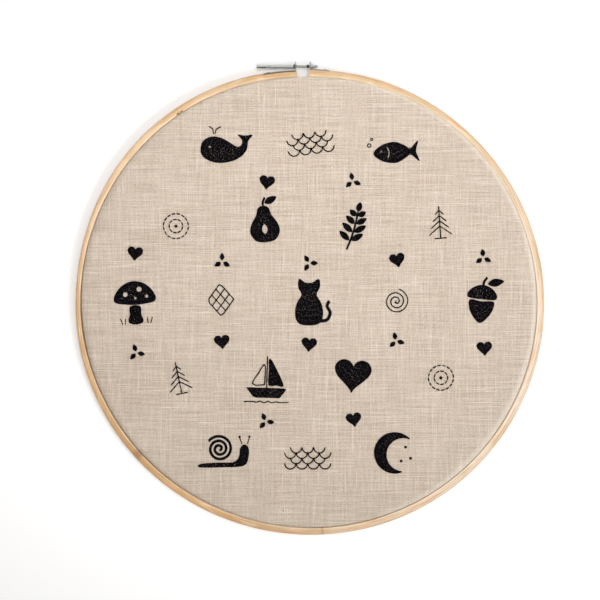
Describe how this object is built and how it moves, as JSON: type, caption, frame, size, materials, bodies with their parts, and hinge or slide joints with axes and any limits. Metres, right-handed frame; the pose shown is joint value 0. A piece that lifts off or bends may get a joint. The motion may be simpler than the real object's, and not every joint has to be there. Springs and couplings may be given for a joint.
{
  "type": "hoop embroidery art",
  "caption": "Natural linen stretched in a split wooden embroidery hoop with a tightening screw, stitched in black, lying face up.",
  "frame": {"origin": "under the middle of the whole object's box, on the surface that the hoop lies on", "axes": "+Z out of the stitched face, +Y towards the tightening screw, +X to the viewer's right when facing the cloth"},
  "size_m": [0.3571, 0.3604, 0.0113],
  "materials": {
    "wood": "bare sanded honey-coloured wood",
    "linen": "natural slub linen, plain weave",
    "steel": "bright plated steel",
    "thread": "black cotton floss with a slight gloss"
  },
  "bodies": {
    "hoop": {"outer_ring": "wood", "inner_ring": "wood", "cloth": "linen", "bracket_left": "steel", "bracket_right": "steel", "tack_left": "steel", "tack_right": "steel"},
    "screw": {"screw": "steel"}
  },
  "joints": [
    {"name": "screw_turn", "type": "hinge", "parent": "hoop", "child": "screw", "pos_m": [0, 0.17651, 0.005], "axis": [1, 0, 0], "continuous": true}
  ]
}
